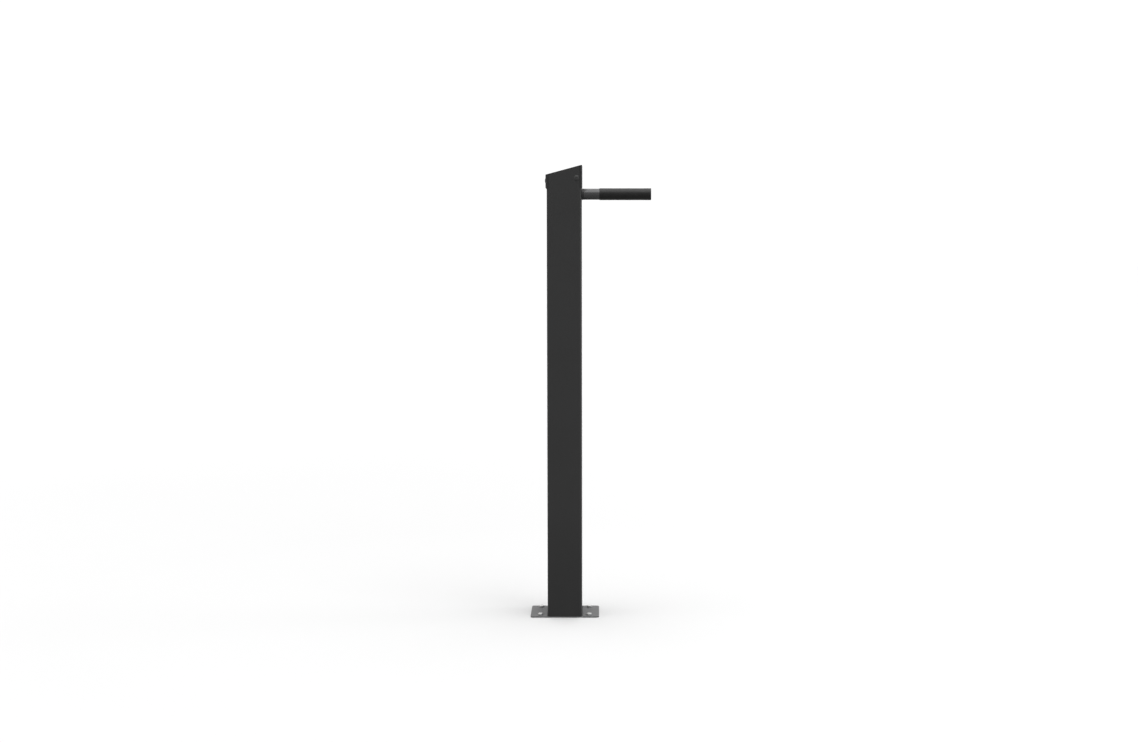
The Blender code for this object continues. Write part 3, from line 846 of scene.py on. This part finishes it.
def rivet_nut_mesh(length, flange_radius, sheet):
    """A blind rivet nut, crimped behind its sheet. Its tail is at z = 0 and its flange at the length."""
    body_radius = 0.0045
    bulge_radius = 0.0058
    bore_radius = 0.0033
    flange_thickness = 0.0016
    crimp_length = 0.003
    bulge_slope = 0.0009
    flange = length - flange_thickness
    crimp_top = flange - GAP * 2 - sheet
    crimp_low = crimp_top - crimp_length
    # Radius, height and rounding of each corner
    section = [
        (flange_radius, length, 0.0003),
        (flange_radius, flange, 0.0002),
        (body_radius, flange, 0),
        (body_radius, crimp_top, 0.0002),
        (bulge_radius, crimp_top - bulge_slope, 0.0005),
        (bulge_radius, crimp_low + bulge_slope, 0.0005),
        (body_radius, crimp_low, 0.0003),
        (body_radius, 0, 0.0003),
        (bore_radius, 0, 0.0004),
        (bore_radius, length, 0.0004),
    ]
    radii, heights, roundings = zip(*section)
    points = rounded(list(zip(radii, heights)), roundings, 4)
    return turned_mesh("rivet_nut", points, SMALL_ROUND, closed=True)


def build_lid_fixings():
    screw_mesh = None
    for side_name, side in SIDES.items():
        groups = (("rear_", BACKWARD, POST_WALL), ("side_", (0, side, 0), BRACKET_SHEET))
        for group, way, sheet in groups:
            matrix, length, radius = seat("lid_rivet_nut_" + group + side_name, way)
            nut = rivet_nut_mesh(length, radius, sheet)
            show("lid_rivet_nut_" + group + side_name, nut, ZINC, matrix)
            matrix, length, radius = seat("lid_screw_" + group + side_name, way)
            if screw_mesh is None:
                screw_mesh = lid_screw_mesh(length, radius)
            screw = show("lid_screw_" + group + side_name, screw_mesh, SCREW_COAT_PAINTED_HIGHLIGHT, matrix)
            soften(screw, SMALL_EDGE, 2)


# Arms

def spring_washer_mesh(outer, inner, thickness):
    """One turn of square wire, cut through and sprung a little open."""
    turn_steps = 72
    slit = math.radians(9)
    wire_height = thickness * 0.84
    spring = thickness * 0.14
    section = rounded(rectangle(outer - inner, wire_height), 0.0002, 3)
    middle = (outer + inner) / 2
    frames = []
    for step in range(turn_steps + 1):
        share = step / turn_steps
        angle = slit / 2 + (2 * math.pi - slit) * share
        lift = thickness / 2 + (share - 0.5) * spring
        turn = Matrix.Rotation(angle, 4, "Z") @ Matrix.Translation((middle, 0, lift))
        frames.append(turn @ QUARTER_TURN)
    return swept_mesh("spring_washer", frames, section)


def build_arms():
    bolt_mesh = None
    for side_name in SIDES:
        matrix, length, radius = seat("arm_gasket_" + side_name, FORWARD)
        gasket = ring_mesh("gasket", radius, POST_HOLE, length, edge=0.0009)
        show("arm_gasket_" + side_name, gasket, GASKET_RUBBER, matrix)

        matrix, length, tube_radius = seat("arm_tube_" + side_name, FORWARD)
        tube_bore = tube_radius - TUBE_WALL
        tube = ring_mesh("tube", tube_radius, tube_bore, length, edge=0.0005)
        show("arm_tube_" + side_name, tube, ARM_STEEL, matrix)

        matrix, length, radius = seat("arm_boss_" + side_name, FORWARD)
        boss = ring_mesh("boss", radius, POST_HOLE, length, edge=0.0006)
        show("arm_boss_" + side_name, boss, ARM_STEEL, matrix)

        matrix, length, radius = seat("arm_sleeve_" + side_name, FORWARD)
        sleeve = sleeve_mesh(length, radius, tube_radius + GAP)
        show("arm_sleeve_" + side_name, sleeve, RUBBER, matrix)

        matrix, length, radius = seat("arm_end_plug_" + side_name, FORWARD)
        plug = plug_mesh(length, radius, tube_bore - GAP)
        show("arm_end_plug_" + side_name, plug, PLASTIC, matrix)

        matrix, length, radius = seat("arm_spring_washer_" + side_name, FORWARD)
        washer = spring_washer_mesh(radius, POST_HOLE, length)
        show("arm_spring_washer_" + side_name, washer, ZINC, matrix)

        # The head's face lies against the washer, and the shank points forward
        face_x = matrix.translation.x - GAP
        matrix, length, half_flats = seat("arm_bolt_" + side_name, BACKWARD)
        shank = matrix.translation.x - face_x
        if bolt_mesh is None:
            head = length - shank
            bolt_mesh = hex_bolt_mesh("arm_bolt", 2 * half_flats, head, ARM_BOLT_THREAD, shank)
        place = matrix @ Matrix.Translation((0, 0, shank))
        bolt = show("arm_bolt_" + side_name, bolt_mesh, ZINC, place)
        soften(bolt, ARM_BOLT_EDGE, 2)


def sleeve_mesh(length, outer, inner):
    """A pushed-on rubber tube: rounded mouths, and a wall that is nowhere quite straight."""
    edge = 0.0004
    steps = 60
    wave_room = 0.00006
    lip_height = 0.00012
    lip_fade = 0.002
    section = [(inner, edge), (inner + edge, 0), (outer - edge, 0)]
    for step in range(steps + 1):
        z = edge + (length - 2 * edge) * step / steps
        wave = 0.00005 * math.sin(z * 95) + 0.00003 * math.sin(z * 233 + 1)
        lip = lip_height * math.exp(-(length - z) / lip_fade)
        section.append((outer - wave_room + wave + lip, z))
    section += [(outer - edge, length), (inner + edge, length), (inner, length - edge)]
    return turned_mesh("sleeve", section, ROUND, closed=True)


def plug_mesh(length, flange_radius, spigot):
    """A tube plug: a slightly domed cap and a ribbed, hollow spigot. Its cap ends at the length."""
    cap = 0.0025
    dome_height = 0.0005
    dome_edge = 0.0008
    dome_steps = 8
    small_edge = 0.0002
    rib_count = 4
    rib_pitch = 0.0035
    rib_height = 0.0003
    wall = 0.002
    first_rib = 0.002
    rib_crest = 0.0006
    rib_end = 0.0018
    tip_edge = 0.0008
    flange = length - cap
    profile = [(0, length)]
    for step in range(1, dome_steps + 1):
        share = step / dome_steps
        profile.append(((flange_radius - dome_edge) * share, length - dome_height * share**2))
    profile += [
        (flange_radius - small_edge, length - 0.0009),
        (flange_radius, length - 0.0013),
        (flange_radius, flange + small_edge),
        (flange_radius - small_edge, flange),
        (spigot - small_edge, flange),
    ]
    for rib in range(rib_count):
        z = flange - first_rib - rib * rib_pitch
        foot = spigot - rib_height
        profile += [(foot, z), (spigot, z - rib_crest), (foot, z - rib_end)]
    profile += [(spigot - tip_edge, 0), (spigot - wall, 0), (spigot - wall, flange), (0, flange)]
    return turned_mesh("plug", profile)


def build_backing_plate():
    low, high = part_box("arm_backing_plate")
    middle = centre_of("arm_backing_plate")
    outline = rounded(rectangle(high.z - low.z, high.y - low.y), BACKING_CORNER, 6)
    holes = []
    for side_name in SIDES:
        bolt = centre_of("arm_bolt_" + side_name)
        holes.append(circle(POST_HOLE, middle.z - bolt.z, bolt.y))
    plate = prism("backing", outline, low.x, high.x, holes)
    # Own X and Z of the prism go to the world's -Z and X
    plate.transform(Matrix(((0, 0, 1, 0), (0, 1, 0, 0), (-1, 0, 0, middle.z), (0, 0, 0, 1))))
    soften(show("arm_backing_plate", plate, ZINC), BACKING_EDGE, 2)


build_post()
build_weld_beads()
build_base_plate()
build_anchors()
build_lid()
build_lid_brackets()
build_lid_fixings()
build_arms()
build_backing_plate()


# Studio: a pale floor in a white surround, lit from overhead

def build_floor():
    """The floor casts no light on the object, whose undersides stay dark, as in a product shot."""
    mesh = prism("studio_floor", circle(FLOOR_REACH, steps=96), -FLOOR_DEPTH, 0.0)
    look = Look("studio_floor", metallic=0.0, specular=0.1)
    cloud = look.noise(0.6, 2.0)
    colour = look.mix(look.remap(cloud, 0.3, 0.7, 0, 1), grey(FLOOR_TONE), grey(FLOOR_TONE * 1.01))
    distance = look.node("ShaderNodeVectorMath", operation="LENGTH")
    look.feed(distance.inputs[0], look.place)
    far = look.remap(distance.outputs["Value"], FLOOR_NEAR, FLOOR_FAR, 0, 1)
    colour = look.mix(far, colour, grey(FLOOR_FAR_TONE))
    grain = look.bump(look.noise(120, 2.0), 0.0001, 0.1)
    mesh.materials.append(look.finish(colour, 0.9, grain))
    floor = add_object("studio_floor", mesh)
    floor.visible_diffuse = False
    floor.visible_glossy = False


def build_backdrop():
    """A white dome that only the camera sees."""
    shape = bmesh.new()
    bmesh.ops.create_uvsphere(shape, u_segments=48, v_segments=24, radius=BACKDROP_REACH)
    dome = add_object("studio_backdrop", finish_mesh("studio_backdrop", shape))
    material = bpy.data.materials.new("studio_backdrop")
    material.use_nodes = True
    shader = material.node_tree.nodes["Principled BSDF"]
    shader.inputs["Base Color"].default_value = grey(0.0)
    shader.inputs["Specular IOR Level"].default_value = 0.0
    shader.inputs["Emission Color"].default_value = grey(1.0)
    shader.inputs["Emission Strength"].default_value = BACKDROP_STRENGTH
    dome.data.materials.append(material)
    dome.visible_diffuse = False
    dome.visible_glossy = False
    dome.visible_shadow = False
    dome.visible_transmission = False


def build_world():
    """Bright overhead, dim round the horizon, dimmer below, and brighter behind the object."""
    world = bpy.data.worlds.new("studio_world")
    bpy.context.scene.world = world
    world.use_nodes = True
    tree = world.node_tree
    background = tree.nodes["Background"]
    background.inputs["Color"].default_value = grey(1.0)
    place = tree.nodes.new("ShaderNodeTexCoord")
    split = tree.nodes.new("ShaderNodeSeparateXYZ")
    tree.links.new(place.outputs["Generated"], split.inputs["Vector"])
    strength = None
    for axis, low, high, add in SKY_BANDS:
        band = tree.nodes.new("ShaderNodeMapRange")
        band.interpolation_type = "SMOOTHSTEP"
        for key, value in zip(("From Min", "From Max", "To Min", "To Max"), (low, high, 0.0, add)):
            band.inputs[key].default_value = value
        tree.links.new(split.outputs[axis], band.inputs["Value"])
        total = tree.nodes.new("ShaderNodeMath")
        total.operation = "ADD"
        tree.links.new(band.outputs["Result"], total.inputs[0])
        if strength is None:
            total.inputs[1].default_value = SKY_BELOW
        else:
            tree.links.new(strength, total.inputs[1])
        strength = total.outputs["Value"]
    tree.links.new(strength, background.inputs["Strength"])


def build_lamps():
    for name, place, size, power in LAMPS:
        data = bpy.data.lights.new(name, "AREA")
        data.energy = power
        data.shape = "DISK"
        data.size = size
        lamp = add_object(name, data)
        lamp.matrix_world = Matrix.Translation(place) @ turned_to(LAMP_AIM - Vector(place), "-Z")


def build_camera():
    """The photograph's viewpoint: level with the arms, looking along the post's depth."""
    data = bpy.data.cameras.new("camera")
    data.sensor_width = CAMERA_SENSOR
    data.lens = CAMERA_LENS
    data.shift_x = CAMERA_SHIFT
    data.clip_end = CAMERA_REACH
    camera = add_object("camera", data)
    camera.rotation_euler = (math.pi / 2 - CAMERA_DOWN, 0.0, CAMERA_YAW)
    camera.location = CAMERA_PLACE
    bpy.context.scene.camera = camera


build_floor()
build_backdrop()
build_world()
build_lamps()
build_camera()
bpy.context.scene.view_settings.view_transform = "Standard"
bpy.context.view_layer.update()
